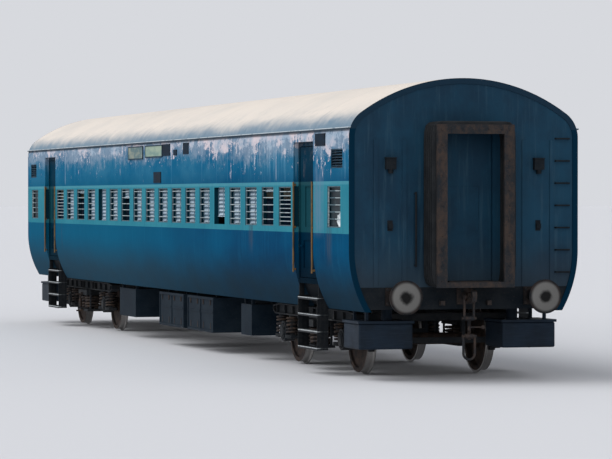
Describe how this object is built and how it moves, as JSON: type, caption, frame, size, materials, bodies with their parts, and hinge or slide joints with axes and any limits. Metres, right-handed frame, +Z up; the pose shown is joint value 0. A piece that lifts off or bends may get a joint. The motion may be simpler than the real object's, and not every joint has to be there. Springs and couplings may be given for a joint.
{
  "type": "passenger coach",
  "caption": "Full-size broad-gauge sleeper coach on two coil-sprung bogies, with barred shuttered windows, opening doors, bellows gangways and side buffers.",
  "frame": {"origin": "on the ground plane under the middle of the coach, at the lowest points of the wheel flanges; the rail head is 28.5 mm above it", "axes": "+X along the coach towards the end nearest in the picture, +Y across it, the side in the picture is -Y, +Z up"},
  "size_m": [22.297, 3.288, 4.0534],
  "materials": {
    "body_blue": "weathered semi-gloss paint",
    "band_teal": "weathered semi-gloss paint",
    "roof_cream": "matt, streaked with dirt",
    "gutter_white": "matt paint",
    "end_navy": "dirty dark paint",
    "door_navy": "weathered semi-gloss paint",
    "sign_dark": "matt enamel",
    "grille_grey": "dull grey paint",
    "shutter_aluminium": "dull pressed sheet",
    "frosted_glass": "frosted",
    "handrail_yellow": "gloss paint",
    "underframe_dark": "matt with brake dust",
    "bogie_dark": "matt with brake dust",
    "spring_dark": "dull with rust and dust",
    "wheel_steel": "rusty, treads bright",
    "worn_steel": "dull, greasy",
    "bellows_rubber": "matt",
    "floor_grey": "worn",
    "laminate_cream": "satin",
    "berth_blue": "satin",
    "gear_grey": "dusty matt paint",
    "tank_steel": "dusty"
  },
  "bodies": {
    "coach_body": {"roof": "roof_cream", "rain_gutters": "gutter_white", "lower_side_panels": "body_blue", "upper_side_panels": "body_blue", "cantrails": "body_blue", "window_pillars": "band_teal", "end_side_panels": "body_blue", "end_walls": "end_navy", "sign_boards": "sign_dark", "window_grilles": "grille_grey", "window_shutters": "shutter_aluminium", "lavatory_panes": "frosted_glass", "lavatory_louvres": "band_teal", "door_frames": "door_navy", "door_handrails": "handrail_yellow", "door_steps": "underframe_dark", "gangway_bellows": "bellows_rubber", "gangway_faceplates": "underframe_dark", "gangway_footplates": "worn_steel", "floor": "floor_grey", "solebars": "underframe_dark", "cross_bearers": "underframe_dark", "headstocks": "underframe_dark", "body_bolsters": "underframe_dark", "bay_partitions": "laminate_cream", "berths": "berth_blue", "lavatory_walls": "laminate_cream", "battery_boxes": "gear_grey", "air_reservoirs": "gear_grey", "toilet_tanks": "tank_steel", "brake_pipes": "worn_steel", "buffers": "worn_steel", "draw_hooks": "worn_steel", "screw_couplings": "worn_steel", "end_fittings": "underframe_dark", "brake_cylinders": "gear_grey"},
    "right_front_door": {"right_front_door": "door_navy"},
    "left_front_door": {"left_front_door": "door_navy"},
    "right_rear_door": {"right_rear_door": "door_navy"},
    "left_rear_door": {"left_rear_door": "door_navy"},
    "front_end_door": {"front_end_door": "door_navy"},
    "rear_end_door": {"rear_end_door": "door_navy"},
    "front_bogie": {"front_bogie_frame": "bogie_dark", "front_bogie_bolster": "bogie_dark", "front_bogie_springs": "spring_dark", "front_axle_boxes": "bogie_dark", "front_brake_gear": "bogie_dark"},
    "front_outer_wheelset": {"front_outer_axle": "wheel_steel", "front_outer_wheels": "wheel_steel"},
    "front_inner_wheelset": {"front_inner_axle": "wheel_steel", "front_inner_wheels": "wheel_steel"},
    "rear_bogie": {"rear_bogie_frame": "bogie_dark", "rear_bogie_bolster": "bogie_dark", "rear_bogie_springs": "spring_dark", "rear_axle_boxes": "bogie_dark", "rear_brake_gear": "bogie_dark"},
    "rear_outer_wheelset": {"rear_outer_axle": "wheel_steel", "rear_outer_wheels": "wheel_steel"},
    "rear_inner_wheelset": {"rear_inner_axle": "wheel_steel", "rear_inner_wheels": "wheel_steel"}
  },
  "joints": [
    {"name": "front_bogie_turn", "type": "hinge", "parent": "coach_body", "child": "front_bogie", "pos_m": [7.3915, 0, 0.9285], "axis": [0, 0, 1], "range_deg": [-4, 4]},
    {"name": "front_outer_wheelset_roll", "type": "hinge", "parent": "front_bogie", "child": "front_outer_wheelset", "pos_m": [8.8395, 0, 0.486], "axis": [0, 1, 0], "continuous": true},
    {"name": "front_inner_wheelset_roll", "type": "hinge", "parent": "front_bogie", "child": "front_inner_wheelset", "pos_m": [5.9435, 0, 0.486], "axis": [0, 1, 0], "continuous": true},
    {"name": "rear_bogie_turn", "type": "hinge", "parent": "coach_body", "child": "rear_bogie", "pos_m": [-7.3915, 0, 0.9285], "axis": [0, 0, 1], "range_deg": [-4, 4]},
    {"name": "rear_outer_wheelset_roll", "type": "hinge", "parent": "rear_bogie", "child": "rear_outer_wheelset", "pos_m": [-8.8395, 0, 0.486], "axis": [0, 1, 0], "continuous": true},
    {"name": "rear_inner_wheelset_roll", "type": "hinge", "parent": "rear_bogie", "child": "rear_inner_wheelset", "pos_m": [-5.9435, 0, 0.486], "axis": [0, 1, 0], "continuous": true},
    {"name": "right_front_door_swing", "type": "hinge", "parent": "coach_body", "child": "right_front_door", "pos_m": [8.945, -1.495, 2.2285], "axis": [0, 0, 1], "range_deg": [-90, 0]},
    {"name": "left_front_door_swing", "type": "hinge", "parent": "coach_body", "child": "left_front_door", "pos_m": [8.945, 1.495, 2.2285], "axis": [0, 0, 1], "range_deg": [0, 90]},
    {"name": "right_rear_door_swing", "type": "hinge", "parent": "coach_body", "child": "right_rear_door", "pos_m": [-8.945, -1.495, 2.2285], "axis": [0, 0, 1], "range_deg": [0, 90]},
    {"name": "left_rear_door_swing", "type": "hinge", "parent": "coach_body", "child": "left_rear_door", "pos_m": [-8.945, 1.495, 2.2285], "axis": [0, 0, 1], "range_deg": [-90, 0]},
    {"name": "front_end_door_slide", "type": "slide", "parent": "coach_body", "child": "front_end_door", "axis": [0, 1, 0], "range_m": [0, 0.8]},
    {"name": "rear_end_door_slide", "type": "slide", "parent": "coach_body", "child": "rear_end_door", "axis": [0, -1, 0], "range_m": [0, 0.8]}
  ]
}
